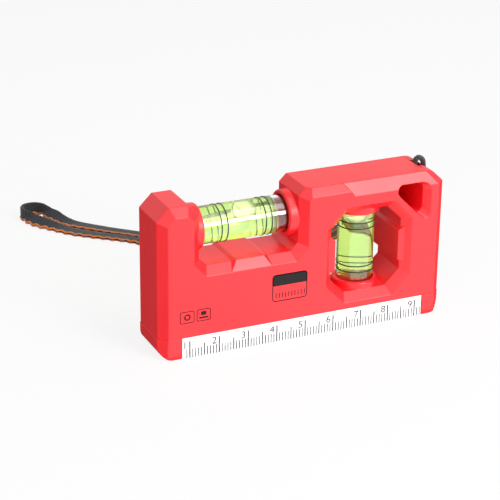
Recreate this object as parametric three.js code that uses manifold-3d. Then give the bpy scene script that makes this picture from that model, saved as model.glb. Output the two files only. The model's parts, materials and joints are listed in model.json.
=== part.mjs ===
// Pocket level, 100 x 50 x 20 mm, with a wrist strap.
// Millimetres. +X runs left to right along the front, +Z is up, and the front face is at -Y.
// The origin is at the middle of the underside.
import * as THREE from 'three';
import { ConvexGeometry } from 'three/addons/geometries/ConvexGeometry.js';
import { mergeVertices } from 'three/addons/utils/BufferGeometryUtils.js';
import Module from 'manifold-3d';

// Overall size
const LENGTH = 100;
const HEIGHT = 50;
const DEPTH = 20;
const CHAMFER = 2.75;
const CLEARANCE = 0.3;
const WALL = 2.2;

// Base shoe with the ruler strip and the magnets
const SHOE_HEIGHT = 6.95;
const SHOE_CORNER = 4.5;
const BODY_INSET = 0.2;
const RULER_INSET = 7.5;
const RULER_THICKNESS = 0.4;
const RULER_MARGIN = 0.1;
const MAGNET_DIAMETER = 10;
const MAGNET_THICKNESS = 3;
const MAGNET_INSET = 17;
const MAGNET_RECESS = 0.2;
const SPIGOT_LENGTH = 8;
const SPIGOT_DEPTH = 6;
const SPIGOT_HEIGHT = 3;
const SPIGOT_INSET = 6;

// Corners of the body
const LEFT_CORNER_CUT = 4.15;
const RIGHT_CORNER_CUT = 4.6;
const RIGHT_CORNER_RADIUS = 5.5;
const POST_CORNER_CUT = 3.45;
const BLOCK_CORNER_CUT = 2.45;
const BLOCK_CHAMFER_DEPTH = 1.65;
const GRIP_FACET_START = 14.95;
const GRIP_FACET_DEPTH = 1.75;
const GRIP_FACET_HEIGHT = 4.5;
const GRIP_FACET_SLANT = 3.8;
const CORNER_BEVEL_START = 2.3;

// Notch for the long vial, between the post at the left end and the web beside the window
const POST_WIDTH = 14.05;
const WEB_WIDTH = 11.9;
const NOTCH_DEPTH = 20.6;
const NOTCH_CORNER_CUT = 2.5;
const PLATFORM_LENGTH = 9.5;
const PLATFORM_RISE = 0.6;
const PLATFORM_SIDE = 1.3;
const PLATFORM_FRONT = 1.65;
const PLATFORM_FOOT = 2.2;
const PLATFORM_ROOT = 0.3;

// Window for the upright vial
const WINDOW_INSET = 14.85;
const WINDOW_WIDTH = 25.1;
const WINDOW_SILL = 4.95;
const WINDOW_LINTEL = 10.6;
const WINDOW_CORNER_CUT = 5.05;
const PAD_HEIGHT = 13;
const PAD_PROUD = 1.2;
const PAD_SLOPE = 1.4;
const PAD_INSET = 1.7;

// Vials
const VIAL_DIAMETER = 12;
const VIAL_SEAT = 3.3;
const VIAL_WALL = 1;
const BARREL_RISE = 0.15;
const BARREL_EDGE = 0.4;
const LONG_LIQUID_END = 10.85;
const UPRIGHT_LIQUID_END = 10.6;
const LONG_BUBBLE_LENGTH = 8.4;
const LONG_BUBBLE_DIAMETER = 5.6;
const LONG_BUBBLE_SHIFT = 1;
const LONG_BUBBLE_TRAVEL = 3.4;
const UPRIGHT_BUBBLE_LENGTH = 8.8;
const UPRIGHT_BUBBLE_DIAMETER = 6.4;
const LINE_SPACING = 13;
const LINE_PITCH = 2.05;
const LINE_WIDTH = 0.4;
const LINE_HEIGHT = 0.12;
const LINE_FIT = 0.05;
const LONG_VIAL_DEPTH = 10.3;
const LONG_COLLAR_LEFT = 2.1;
const LONG_COLLAR_RIGHT = 2.8;
const COLLAR_WALL = 1.2;
const COLLAR_ROUND = 0.6;
const UPRIGHT_COLLAR = 2.1;

// Opening at the top right corner
const EYE_RIGHT_INSET = 7.6;
const EYE_TOP_INSET = 3.25;
const EYE_WIDTH = 13.1;
const EYE_HEIGHT = 13.15;
const EYE_BACK_WALL = 2.5;
const EYE_FLARE = 2.2;
const EYE_SILL_RISE = 0.8;
const EYE_SILL_START = 0.6;
const EYE_LEFT_RADIUS = 2.1;
const EYE_LOWER_RADIUS = 1.8;
const EYE_UPPER_RADIUS = 2.9;

// Cord passage round the corner bar
const CORD_DIAMETER = 1.8;
const BAR_INSET = 3.4;
const BAR_WIDTH = 1;
const CORD_SLOT_LENGTH = 5.4;
const CORD_CHAMBER_DEPTH = 9.2;
const CORD_CHAMBER_HEIGHT = 4.2;

// Dowels between the two halves
const DOWEL_DIAMETER = 2.4;
const DOWEL_LENGTH = 2.5;

// Strap
const STRAP_WIDTH = 4.6;
const STRAP_THICKNESS = 0.8;
const STRAP_REST = 0.15;
const SLEEVE_LENGTH = 9;
const SLEEVE_WIDTH = 11.4;
const SLEEVE_DEPTH = 4.2;
const SLEEVE_CORNER = 1.2;
const SLEEVE_TILT = 67;
const CORD_STEPS = 64;
const STRAP_STEPS = 96;

// Worked out from the sizes above
const FRONT = -DEPTH / 2;
const BACK = DEPTH / 2;
const BODY_LEFT = -LENGTH / 2 + BODY_INSET;
const BODY_RIGHT = LENGTH / 2 - BODY_INSET;
const RULER_LENGTH = LENGTH - 2 * RULER_INSET;
const WINDOW_RIGHT = BODY_RIGHT - WINDOW_INSET;
const WINDOW_LEFT = WINDOW_RIGHT - WINDOW_WIDTH;
const NOTCH_FLOOR = HEIGHT - NOTCH_DEPTH;
const NOTCH_LEFT = BODY_LEFT + POST_WIDTH;
const NOTCH_RIGHT = WINDOW_LEFT - WEB_WIDTH;
const NOTCH_WIDTH = NOTCH_RIGHT - NOTCH_LEFT;
const NOTCH_CENTRE = NOTCH_LEFT + NOTCH_WIDTH / 2;
const GRIP_FACET_LEFT = NOTCH_RIGHT + GRIP_FACET_START;
const WINDOW_CENTRE = WINDOW_RIGHT - WINDOW_WIDTH / 2;
const WINDOW_BOTTOM = SHOE_HEIGHT + WINDOW_SILL;
const WINDOW_TOP = HEIGHT - WINDOW_LINTEL;
const WINDOW_HEIGHT = WINDOW_TOP - WINDOW_BOTTOM;
const WINDOW_MIDDLE = WINDOW_BOTTOM + WINDOW_HEIGHT / 2;
const LONG_VIAL_HEIGHT = HEIGHT - LONG_VIAL_DEPTH;
const VIAL_RADIUS = VIAL_DIAMETER / 2;
const SEAT_RADIUS = VIAL_RADIUS + CLEARANCE;
const COLLAR_RADIUS = SEAT_RADIUS + COLLAR_WALL;
const CHAMBER_RADIUS = VIAL_RADIUS - VIAL_WALL;
const EYE_RIGHT = BODY_RIGHT - EYE_RIGHT_INSET;
const EYE_LEFT = EYE_RIGHT - EYE_WIDTH;
const EYE_TOP = HEIGHT - EYE_TOP_INSET;
const EYE_BOTTOM = EYE_TOP - EYE_HEIGHT;
const BAR_RIGHT = BODY_RIGHT - BAR_INSET;
const BAR_LEFT = BAR_RIGHT - BAR_WIDTH;
const BAR_CENTRE = BAR_RIGHT - BAR_WIDTH / 2;
const DOWEL_PLACES = [
  [(BODY_LEFT + NOTCH_LEFT) / 2, NOTCH_FLOOR],
  [(NOTCH_RIGHT + WINDOW_LEFT) / 2, NOTCH_FLOOR],
  [EYE_LEFT + DOWEL_DIAMETER / 4, EYE_TOP - CLEARANCE],
  [WINDOW_RIGHT - WINDOW_CORNER_CUT + DOWEL_DIAMETER / 2, (SHOE_HEIGHT + WINDOW_BOTTOM) / 2],
];
const FAR = 200;
const ROUND = 40;
const BIT = 0.01;

const wasm = await Module();
wasm.setup();

const RED = new THREE.MeshStandardMaterial({ color: 0xe8303a, roughness: 0.42, metalness: 0 });
const WHITE = new THREE.MeshStandardMaterial({ color: 0xf4f4f2, roughness: 0.5, metalness: 0 });
const STEEL = new THREE.MeshStandardMaterial({ color: 0xb8babd, roughness: 0.3, metalness: 1 });
const ACRYLIC = new THREE.MeshStandardMaterial({
  color: 0xf2f7ee, roughness: 0.05, metalness: 0, transparent: true, opacity: 0.35,
});
const FLUID = new THREE.MeshStandardMaterial({ color: 0xc4ee5c, roughness: 0.1, metalness: 0 });
const AIR = new THREE.MeshStandardMaterial({ color: 0xeaf6dc, roughness: 0.05, metalness: 0 });
const BLACK = new THREE.MeshStandardMaterial({ color: 0x141414, roughness: 0.5, metalness: 0 });
const CORD = new THREE.MeshStandardMaterial({ color: 0x1c1c1e, roughness: 0.85, metalness: 0 });
const WEBBING = new THREE.MeshStandardMaterial({ color: 0x232326, roughness: 0.9, metalness: 0 });

// Booleans on closed geometries

function solid(geometry) {
  const bare = geometry.clone();
  bare.deleteAttribute('normal');
  bare.deleteAttribute('uv');
  const merged = mergeVertices(bare, 1e-4);
  return new wasm.Manifold(new wasm.Mesh({
    numProp: 3,
    vertProperties: new Float32Array(merged.attributes.position.array),
    triVerts: new Uint32Array(merged.index.array),
  }));
}

function geometryOf(shape) {
  const mesh = shape.getMesh();
  const geometry = new THREE.BufferGeometry();
  geometry.setAttribute('position', new THREE.BufferAttribute(new Float32Array(mesh.vertProperties), 3));
  geometry.setIndex(new THREE.BufferAttribute(new Uint32Array(mesh.triVerts), 1));
  return geometry;
}

function join(...geometries) {
  return geometryOf(geometries.map(solid).reduce((all, next) => all.add(next)));
}

function cut(geometry, ...tools) {
  return geometryOf(tools.map(solid).reduce((all, tool) => all.subtract(tool), solid(geometry)));
}

function common(geometry, other) {
  return geometryOf(solid(geometry).intersect(solid(other)));
}

// Basic forms

function outline(corners) {
  // A closed outline through [x, z, radius] corners; radius 0 leaves the corner sharp.
  const shape = new THREE.Shape();
  corners.forEach(([x, z, radius = 0], i) => {
    const here = new THREE.Vector2(x, z);
    const before = new THREE.Vector2(...corners.at(i - 1).slice(0, 2)).sub(here).normalize();
    const after = new THREE.Vector2(...corners[(i + 1) % corners.length].slice(0, 2)).sub(here).normalize();
    const half = Math.acos(THREE.MathUtils.clamp(before.dot(after), -1, 1)) / 2;
    const run = radius / Math.tan(half);
    const from = here.clone().addScaledVector(before, run);
    const to = here.clone().addScaledVector(after, run);
    if (i === 0) shape.moveTo(from.x, from.y);
    else shape.lineTo(from.x, from.y);
    if (radius > 0) {
      const inwards = before.clone().add(after).normalize();
      const centre = here.clone().addScaledVector(inwards, radius / Math.sin(half));
      const start = Math.atan2(from.y - centre.y, from.x - centre.x);
      const turn = Math.atan2(to.y - centre.y, to.x - centre.x);
      const clockwise = before.cross(after) > 0;
      shape.absarc(centre.x, centre.y, radius, start, turn, clockwise);
    }
  });
  shape.closePath();
  return shape;
}

function acrossDepth(shape, low, high, chamfer = 0, curveSegments = 5) {
  // Extrudes an X-Z outline along Y, with the same chamfer at both faces.
  const geometry = new THREE.ExtrudeGeometry(shape, {
    depth: high - low - 2 * chamfer, bevelEnabled: chamfer > 0, bevelThickness: chamfer,
    bevelSize: chamfer, bevelOffset: -chamfer, bevelSegments: 1, curveSegments,
  });
  return geometry.rotateX(Math.PI / 2).translate(0, high - chamfer, 0);
}

function upwards(shape, low, high, curveSegments = 5) {
  // Extrudes an X-Y outline along Z.
  const depth = high - low;
  return new THREE.ExtrudeGeometry(shape, { depth, bevelEnabled: false, curveSegments }).translate(0, 0, low);
}

function box(x0, x1, y0, y1, z0, z1) {
  const geometry = new THREE.BoxGeometry(x1 - x0, y1 - y0, z1 - z0);
  return geometry.translate((x0 + x1) / 2, (y0 + y1) / 2, (z0 + z1) / 2);
}

function hull(points) {
  return new ConvexGeometry(points.map((point) => new THREE.Vector3(...point)));
}

function beyondPlane(point, normal, size = FAR) {
  // A block that fills the outer side of a plane.
  const turn = new THREE.Quaternion().setFromUnitVectors(
    new THREE.Vector3(0, 0, 1), new THREE.Vector3(...normal).normalize(),
  );
  const geometry = new THREE.BoxGeometry(size, size, size).translate(0, 0, size / 2);
  return geometry.applyQuaternion(turn).translate(...point);
}

function turned(profile, segments = ROUND) {
  // A body of revolution about Z from [radius, z] points that start and end on the axis.
  const points = profile.map(([radius, z]) => new THREE.Vector2(radius, z));
  return new THREE.LatheGeometry(points, segments).rotateX(Math.PI / 2);
}

function alongX(geometry) {
  return geometry.rotateY(Math.PI / 2);
}

// Body: one moulding, made as a front half and a rear half that meet on the middle plane

function bodyOutline() {
  const corner = NOTCH_CORNER_CUT;
  const raised = HEIGHT + 2 * CHAMFER;
  return outline([
    [BODY_LEFT, -CHAMFER], [BODY_RIGHT, -CHAMFER], [BODY_RIGHT, raised], [NOTCH_RIGHT, raised],
    [NOTCH_RIGHT, NOTCH_FLOOR + corner], [NOTCH_RIGHT - corner, NOTCH_FLOOR],
    [NOTCH_LEFT + corner, NOTCH_FLOOR], [NOTCH_LEFT, NOTCH_FLOOR + corner],
    [NOTCH_LEFT, HEIGHT - POST_CORNER_CUT], [NOTCH_LEFT - POST_CORNER_CUT, HEIGHT],
    [BODY_LEFT + LEFT_CORNER_CUT, HEIGHT], [BODY_LEFT, HEIGHT - LEFT_CORNER_CUT],
  ]);
}

function windowCorners(spread) {
  // The eight corners of the window with its sides moved outwards by spread.
  const corner = WINDOW_CORNER_CUT + spread * (2 - Math.SQRT2);
  const left = WINDOW_LEFT - spread;
  const right = WINDOW_RIGHT + spread;
  const low = WINDOW_BOTTOM - spread;
  const high = WINDOW_TOP + spread;
  return [
    [left + corner, low], [right - corner, low], [right, low + corner], [right, high - corner],
    [right - corner, high], [left + corner, high], [left, high - corner], [left, low + corner],
  ];
}

function windowCutter() {
  // The window, chamfered at both faces.
  const flares = [-1, 1].map((side) => hull([
    ...windowCorners(0).map(([x, z]) => [x, side * (BACK - CHAMFER), z]),
    ...windowCorners(CHAMFER + BIT).map(([x, z]) => [x, side * (BACK + BIT), z]),
  ]));
  return join(acrossDepth(outline(windowCorners(0)), FRONT, BACK), ...flares);
}

function blockTopCutter() {
  // Everything above the top of the right block: its left corner cut, flat top and rounded right corner.
  const top = HEIGHT;
  const reach = top + 4 * CHAMFER;
  return acrossDepth(outline([
    [NOTCH_RIGHT - BLOCK_CORNER_CUT, top - 2 * BLOCK_CORNER_CUT], [NOTCH_RIGHT + BLOCK_CORNER_CUT, top],
    [BODY_RIGHT - RIGHT_CORNER_CUT, top, RIGHT_CORNER_RADIUS],
    [BODY_RIGHT + RIGHT_CORNER_CUT, top - 2 * RIGHT_CORNER_CUT], [BODY_RIGHT + RIGHT_CORNER_CUT, reach],
    [NOTCH_RIGHT - BLOCK_CORNER_CUT, reach],
  ]), FRONT - CHAMFER, BACK + CHAMFER);
}

function gripFacetCutter() {
  // The wide sloping facet under the front edge of the top, with a slanted step at its left end.
  const lowerLeft = [GRIP_FACET_LEFT + GRIP_FACET_SLANT, FRONT, HEIGHT - GRIP_FACET_HEIGHT];
  const upperLeft = [GRIP_FACET_LEFT, FRONT + GRIP_FACET_DEPTH, HEIGHT];
  const slope = upperLeft.map((value, i) => value - lowerLeft[i]);
  const above = upperLeft.map((value, i) => value + slope[i]);
  const below = lowerLeft.map((value, i) => value - slope[i] * 0.2);
  const right = LENGTH;
  const outside = FRONT - 2 * CHAMFER;
  return hull([
    above, below, [right, above[1], above[2]], [right, below[1], below[2]],
    [above[0], outside, above[2]], [below[0], outside, below[2]],
    [right, outside, above[2]], [right, outside, below[2]],
  ]);
}

function cornerBevelCutter() {
  // The bevel along the front of the sloping right corner, between the grip facet and the end.
  const start = BODY_RIGHT - RIGHT_CORNER_CUT - CORNER_BEVEL_START;
  const half = RIGHT_CORNER_CUT / 2;
  const a = new THREE.Vector3(start, FRONT + GRIP_FACET_DEPTH, HEIGHT);
  const b = new THREE.Vector3(BODY_RIGHT - CHAMFER, FRONT, HEIGHT - GRIP_FACET_HEIGHT);
  const c = new THREE.Vector3(BODY_RIGHT - half, FRONT + CHAMFER, HEIGHT - half);
  const normal = b.clone().sub(a).cross(c.clone().sub(a)).normalize();
  if (normal.z < 0) normal.negate();
  return beyondPlane(a.toArray(), normal.toArray());
}

function edgeCutters() {
  const topFront = [0, -CHAMFER, BLOCK_CHAMFER_DEPTH];
  return [
    beyondPlane([0, FRONT, HEIGHT - CHAMFER], topFront),
    beyondPlane([0, BACK - CHAMFER, HEIGHT], [0, 1, 1]),
    beyondPlane([NOTCH_RIGHT, FRONT + CHAMFER, HEIGHT - BLOCK_CORNER_CUT], [-1, -Math.SQRT2, 1], 4 * CHAMFER),
    beyondPlane([NOTCH_RIGHT, BACK - CHAMFER, HEIGHT - BLOCK_CORNER_CUT], [-1, Math.SQRT2, 1], 4 * CHAMFER),
    beyondPlane([BODY_RIGHT, BACK - CHAMFER, HEIGHT - RIGHT_CORNER_CUT], [1, Math.SQRT2, 1]),
  ];
}

function platform() {
  // The low step in the notch floor under the middle of the long vial.
  const top = NOTCH_FLOOR + PLATFORM_RISE;
  const base = NOTCH_FLOOR - CHAMFER;
  const half = PLATFORM_LENGTH / 2;
  const across = (side, out) => NOTCH_CENTRE + side * (half + out);
  const rise = PLATFORM_RISE * (1 + PLATFORM_ROOT);
  const root = BACK - CHAMFER - PLATFORM_ROOT * (CHAMFER - PLATFORM_FRONT);
  const points = [];
  for (const side of [-1, 1]) {
    for (const end of [-1, 1]) {
      points.push([across(side, PLATFORM_FOOT), end * BACK, base]);
      points.push([across(side, PLATFORM_SIDE * (1 + PLATFORM_ROOT)), end * root, top - rise]);
      points.push([across(side, 0), end * (BACK - PLATFORM_FRONT), top]);
    }
  }
  return hull(points);
}

function pad(wall, inwards) {
  // A raised pad half way up a side wall of the window.
  const half = PAD_HEIGHT / 2;
  const points = [];
  for (const up of [-1, 1]) {
    for (const end of [-1, 1]) {
      const y = end * (BACK - PAD_INSET);
      points.push([wall - inwards * PAD_SLOPE, y, WINDOW_MIDDLE + up * half]);
      points.push([wall + inwards * PAD_PROUD, y, WINDOW_MIDDLE + up * (half - PAD_SLOPE)]);
    }
  }
  return hull(points);
}

function collar(length) {
  // Stands on a wall at z = 0 and grips the vial's end; its rim is rounded.
  const rim = COLLAR_RADIUS - COLLAR_ROUND;
  const arc = [0, 1, 2, 3, 4, 5, 6].map((step) => {
    const angle = step * Math.PI / 12;
    return [rim + COLLAR_ROUND * Math.cos(angle), length - COLLAR_ROUND + COLLAR_ROUND * Math.sin(angle)];
  });
  return turned([[0, -2], [COLLAR_RADIUS + 0.3, -2], ...arc, [0, length]]);
}

function collars() {
  const left = alongX(collar(LONG_COLLAR_LEFT)).translate(NOTCH_LEFT, 0, LONG_VIAL_HEIGHT);
  const right = collar(LONG_COLLAR_RIGHT).rotateX(Math.PI);
  const lower = collar(UPRIGHT_COLLAR).translate(WINDOW_CENTRE, 0, WINDOW_BOTTOM);
  const upper = collar(UPRIGHT_COLLAR).rotateX(Math.PI).translate(WINDOW_CENTRE, 0, WINDOW_TOP);
  return [left, alongX(right).translate(NOTCH_RIGHT, 0, LONG_VIAL_HEIGHT), lower, upper];
}

function vialSeats() {
  const bore = (length) => new THREE.CylinderGeometry(SEAT_RADIUS, SEAT_RADIUS, length, ROUND);
  const long = bore(NOTCH_WIDTH + 2 * VIAL_SEAT + 2 * CLEARANCE).rotateZ(Math.PI / 2);
  const upright = bore(WINDOW_HEIGHT + 2 * VIAL_SEAT + 2 * CLEARANCE).rotateX(Math.PI / 2);
  return [
    long.translate(NOTCH_CENTRE, 0, LONG_VIAL_HEIGHT),
    upright.translate(WINDOW_CENTRE, 0, WINDOW_MIDDLE),
  ];
}

function eyeCutter() {
  // The three-cornered opening at the top right, flared at its right side and sill.
  const flareRight = EYE_RIGHT + EYE_FLARE;
  const sill = EYE_BOTTOM + EYE_SILL_RISE;
  const inner = outline([
    [EYE_LEFT, EYE_TOP, EYE_LEFT_RADIUS], [EYE_RIGHT, EYE_BOTTOM, EYE_LOWER_RADIUS],
    [EYE_RIGHT, EYE_TOP, EYE_UPPER_RADIUS],
  ]);
  const mouth = outline([
    [EYE_LEFT, EYE_TOP, EYE_LEFT_RADIUS], [EYE_RIGHT - EYE_SILL_START, sill, EYE_LOWER_RADIUS / 2],
    [flareRight, sill, EYE_LOWER_RADIUS], [flareRight, EYE_TOP, EYE_UPPER_RADIUS],
  ]);
  const points = [];
  for (const { x, y } of inner.extractPoints(8).shape) points.push([x, FRONT + EYE_FLARE, y]);
  for (const { x, y } of mouth.extractPoints(8).shape) points.push([x, FRONT - BIT, y]);
  return join(acrossDepth(inner, FRONT - CHAMFER, BACK - EYE_BACK_WALL, 0, 8), hull(points));
}

function cordPassage() {
  // Two slots either side of the corner bar, the chamber under them and its way out at the rear.
  const slot = CORD_DIAMETER + 2 * CLEARANCE;
  const half = CORD_SLOT_LENGTH / 2;
  const left = BAR_LEFT - slot;
  const right = BAR_RIGHT + slot;
  const low = HEIGHT - CORD_CHAMBER_DEPTH;
  return [
    box(left, BAR_LEFT, -half, half, low, HEIGHT + 1),
    box(BAR_RIGHT, right, -half, half, low, HEIGHT + 1),
    box(left, right, -half, BACK + 1, low, low + CORD_CHAMBER_HEIGHT),
  ];
}

function cavities() {
  const low = SHOE_HEIGHT + WALL;
  const depth = BACK - WALL;
  const under = NOTCH_FLOOR - CHAMFER - WALL;
  const beside = WINDOW_RIGHT + PAD_SLOPE + WALL;
  const base = box(BODY_LEFT + WALL, WINDOW_LEFT - WALL, -depth, depth, low, under);
  const column = box(beside, BODY_RIGHT - WALL, -depth, depth, low, EYE_BOTTOM - WALL);
  return [base, column];
}

function spigotSockets() {
  return [-1, 1].map((side) => spigot(side, CLEARANCE, SHOE_HEIGHT - 1));
}

function wholeBody() {
  const block = acrossDepth(bodyOutline(), FRONT, BACK, CHAMFER);
  const faced = cut(
    block, box(-FAR, FAR, -FAR, FAR, -FAR, SHOE_HEIGHT), windowCutter(), blockTopCutter(),
    gripFacetCutter(), cornerBevelCutter(), ...edgeCutters(),
  );
  const built = join(faced, platform(), pad(WINDOW_LEFT, 1), pad(WINDOW_RIGHT, -1), ...collars());
  return cut(built, ...vialSeats(), eyeCutter(), ...cordPassage(), ...cavities(), ...spigotSockets());
}

function dowels(radius, low, high) {
  return DOWEL_PLACES.map(([x, z]) => {
    const pin = new THREE.CylinderGeometry(radius, radius, high - low, 16);
    return pin.translate(x, (low + high) / 2, z);
  });
}

function bodyHalves() {
  const body = wholeBody();
  const sockets = dowels(DOWEL_DIAMETER / 2 + CLEARANCE, -DOWEL_LENGTH - CLEARANCE, 1);
  const front = cut(body, box(-FAR, FAR, 0, FAR, -FAR, FAR), ...sockets);
  const pins = dowels(DOWEL_DIAMETER / 2, -DOWEL_LENGTH, 1);
  const rear = join(cut(body, box(-FAR, FAR, -FAR, 0, -FAR, FAR)), ...pins);
  return [front, rear];
}

// Base shoe

function spigot(side, room, low) {
  const x = side * (LENGTH / 2 - SPIGOT_INSET);
  const along = SPIGOT_LENGTH / 2 + room;
  const across = SPIGOT_DEPTH / 2 + room;
  return box(x - along, x + along, -across, across, low, SHOE_HEIGHT + SPIGOT_HEIGHT + room);
}

function baseShoe() {
  const half = LENGTH / 2;
  const side = outline([
    [-half, 0, SHOE_CORNER], [half, 0, SHOE_CORNER], [half, SHOE_HEIGHT], [-half, SHOE_HEIGHT],
  ]);
  const plan = outline([
    [-half + CHAMFER, FRONT], [half - CHAMFER, FRONT], [half, FRONT + CHAMFER], [half, BACK - CHAMFER],
    [half - CHAMFER, BACK], [-half + CHAMFER, BACK], [-half, BACK - CHAMFER], [-half, FRONT + CHAMFER],
  ]);
  const block = common(acrossDepth(side, FRONT, BACK), upwards(plan, -1, SHOE_HEIGHT + 1));
  const rulerEnd = RULER_LENGTH / 2 + CLEARANCE;
  const floor = FRONT + RULER_THICKNESS;
  const recess = box(-rulerEnd, rulerEnd, FRONT - 1, floor, -1, SHOE_HEIGHT + 1);
  const pockets = [-1, 1].map((end) => magnetBlank(end, MAGNET_DIAMETER / 2 + CLEARANCE, -1));
  const spigots = [-1, 1].map((end) => spigot(end, 0, SHOE_HEIGHT - 1));
  return join(cut(block, recess, ...pockets), ...spigots);
}

function magnetBlank(side, radius, low) {
  const high = MAGNET_RECESS + MAGNET_THICKNESS;
  const disc = new THREE.CylinderGeometry(radius, radius, high - low, ROUND).rotateX(Math.PI / 2);
  return disc.translate(side * (LENGTH / 2 - MAGNET_INSET), 0, (low + high) / 2);
}

function rulerStrip() {
  const half = RULER_LENGTH / 2;
  return box(-half, half, FRONT, FRONT + RULER_THICKNESS, RULER_MARGIN, SHOE_HEIGHT);
}

// Vials, built lying on Z with the plug end low and the middle of the read lines at z = 0

function vialParts(length, liquidEnd) {
  // length is that of the acrylic barrel; the liquid reaches down to liquidEnd below the middle.
  const low = -length / 2;
  const high = length / 2;
  const chamberLow = -liquidEnd;
  const chamberHigh = high - VIAL_WALL;
  const bulge = (z) => {
    const along = z / Math.max(-chamberLow, chamberHigh);
    return CHAMBER_RADIUS + BARREL_RISE * (1 - along * along);
  };
  const chamber = (inset, from, to) => {
    const wall = [];
    for (let step = 0; step <= 8; step += 1) {
      const z = from + (to - from) * step / 8;
      wall.push([bulge(z) - inset, z]);
    }
    return wall;
  };
  const barrelWall = chamber(0, chamberLow, chamberHigh);
  const barrel = turned([
    [CHAMBER_RADIUS, low], [VIAL_RADIUS - BARREL_EDGE, low], [VIAL_RADIUS, low + BARREL_EDGE],
    [VIAL_RADIUS, high - BARREL_EDGE], [VIAL_RADIUS - BARREL_EDGE, high], [0, high], [0, chamberHigh],
    ...barrelWall.reverse(), [CHAMBER_RADIUS, low],
  ]);
  const plugRadius = CHAMBER_RADIUS - CLEARANCE;
  const plugHigh = chamberLow - CLEARANCE;
  const plug = turned([[0, low], [plugRadius, low], [plugRadius, plugHigh], [0, plugHigh]]);
  const fill = turned([
    [0, chamberLow], ...chamber(LINE_FIT, chamberLow, chamberHigh - CLEARANCE), [0, chamberHigh - CLEARANCE],
  ]);
  return { barrel, plug, fill, chamberLow, chamberHigh, bulge };
}

function readLine(z) {
  const inner = VIAL_RADIUS + LINE_FIT;
  const outer = inner + LINE_HEIGHT;
  const low = z - LINE_WIDTH / 2;
  const high = z + LINE_WIDTH / 2;
  return turned([[inner, low], [outer, low], [outer, high], [inner, high], [inner, low]]);
}

function capsule(radius, length) {
  return new THREE.CapsuleGeometry(radius, length - 2 * radius, 5, 16).rotateX(Math.PI / 2);
}

// Cord and strap: their points are chosen by hand along the way that they lie

class StrapPath extends THREE.CatmullRomCurve3 {
  // A path with a chosen direction across the strap at each of its points.
  constructor(points, across) {
    super(points, false, 'centripetal');
    this.across = new THREE.CatmullRomCurve3(across, false, 'centripetal');
  }

  computeFrenetFrames(segments) {
    const tangents = [];
    const normals = [];
    const binormals = [];
    for (let step = 0; step <= segments; step += 1) {
      const t = this.getUtoTmapping(step / segments);
      const tangent = this.getTangent(t);
      const wide = this.across.getPoint(t);
      wide.addScaledVector(tangent, -wide.dot(tangent)).normalize();
      tangents.push(tangent);
      normals.push(wide);
      binormals.push(tangent.clone().cross(wide));
    }
    return { tangents, normals, binormals };
  }
}

// The pair of strands from the sleeve to the end of the loop: the place of the pair's middle behind and
// beside the sleeve, how high it still hangs as a share of the sleeve's height, how far the strands lean
// from flat (0) to standing on edge (90), and how far apart their middles are.
const STRAP_PLACES = [
  [0, 0, 1, 0, 5.2], [-1.85, 0, 0.972, 0, 5.2], [-3.7, 0.2, 0.94, 0, 5.2], [-8.6, 2.1, 0.816, 0, 5.2],
  [-14.4, 5.1, 0.628, 0, 5.2], [-20, 10.1, 0.428, 0, 5.2], [-25, 17.1, 0.244, 0, 5.2],
  [-29.4, 25.9, 0.104, 0, 5.2], [-33.4, 35.5, 0.028, 0, 5.2], [-37.6, 45.1, 0.004, 0, 5.2],
  [-42.4, 54.1, 0, 0, 5.2], [-47.8, 62.4, 0, 0, 5.2], [-53.4, 69.7, 0, 0, 5.3],
  [-57.3, 73.6, 0, 0, 5.4], [-61.8, 77.4, 0, 1, 5.6], [-66.7, 81.9, 0, 2, 6.2],
  [-71.2, 86.2, 0, 4, 6.4], [-73.8, 89.1, 0, 8, 6.1], [-75.9, 91.6, 0, 16, 6.1],
  [-77.8, 94.2, 0, 27, 6.7], [-79.5, 97, 0, 38, 8], [-81.2, 100.4, 0, 43, 8.1],
];
// The loop's end, standing on edge: the run of the strap round from one strand to the other.
const LOOP_PLACES = [
  [-86.2, 101.5], [-86.9, 104.8], [-85, 107.6], [-81.7, 108.1], [-78.9, 106.4], [-77.8, 104.1],
];

// Sleeve, which hangs tilted under the cord behind the window
const SLEEVE_MIDDLE = new THREE.Vector3(BAR_CENTRE - 7.9, BACK + 7.5, HEIGHT - 22.6);

function sleeveEnd(side) {
  // The point CLEARANCE outside the middle of the sleeve's lower (-1) or upper (1) face.
  const tilt = THREE.MathUtils.degToRad(SLEEVE_TILT);
  const along = new THREE.Vector3(Math.sin(tilt), 0, Math.cos(tilt));
  return SLEEVE_MIDDLE.clone().addScaledVector(along, side * (SLEEVE_LENGTH / 2 + CLEARANCE));
}

function strapPath() {
  const up = new THREE.Vector3(0, 0, 1);
  const start = sleeveEnd(-1);
  const place = ([x, y, share], lean) => {
    const rest = STRAP_REST + STRAP_WIDTH / 2 * Math.sin(lean) + STRAP_THICKNESS / 2 * Math.cos(lean);
    return new THREE.Vector3(start.x + x, start.y + y, rest + share * (start.z - rest));
  };
  const near = [];
  const farSide = [];
  const nearAcross = [];
  const farAcross = [];
  STRAP_PLACES.forEach((here, i) => {
    const before = STRAP_PLACES[Math.max(i - 1, 0)];
    const after = STRAP_PLACES[Math.min(i + 1, STRAP_PLACES.length - 1)];
    const away = new THREE.Vector3(after[1] - before[1], before[0] - after[0], 0).normalize();
    const lean = THREE.MathUtils.degToRad(here[3]);
    const middle = place(here, lean);
    const across = away.clone().multiplyScalar(Math.cos(lean)).addScaledVector(up, Math.sin(lean));
    near.push(middle.clone().addScaledVector(away, -here[4] / 2));
    farSide.unshift(middle.clone().addScaledVector(away, here[4] / 2));
    nearAcross.push(across);
    farAcross.unshift(across.clone());
  });
  const loop = LOOP_PLACES.map(([x, y]) => place([x, y, 0], Math.PI / 2));
  const upright = LOOP_PLACES.map(() => up.clone());
  return new StrapPath([...near, ...loop, ...farSide], [...nearAcross, ...upright, ...farAcross]);
}

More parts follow.
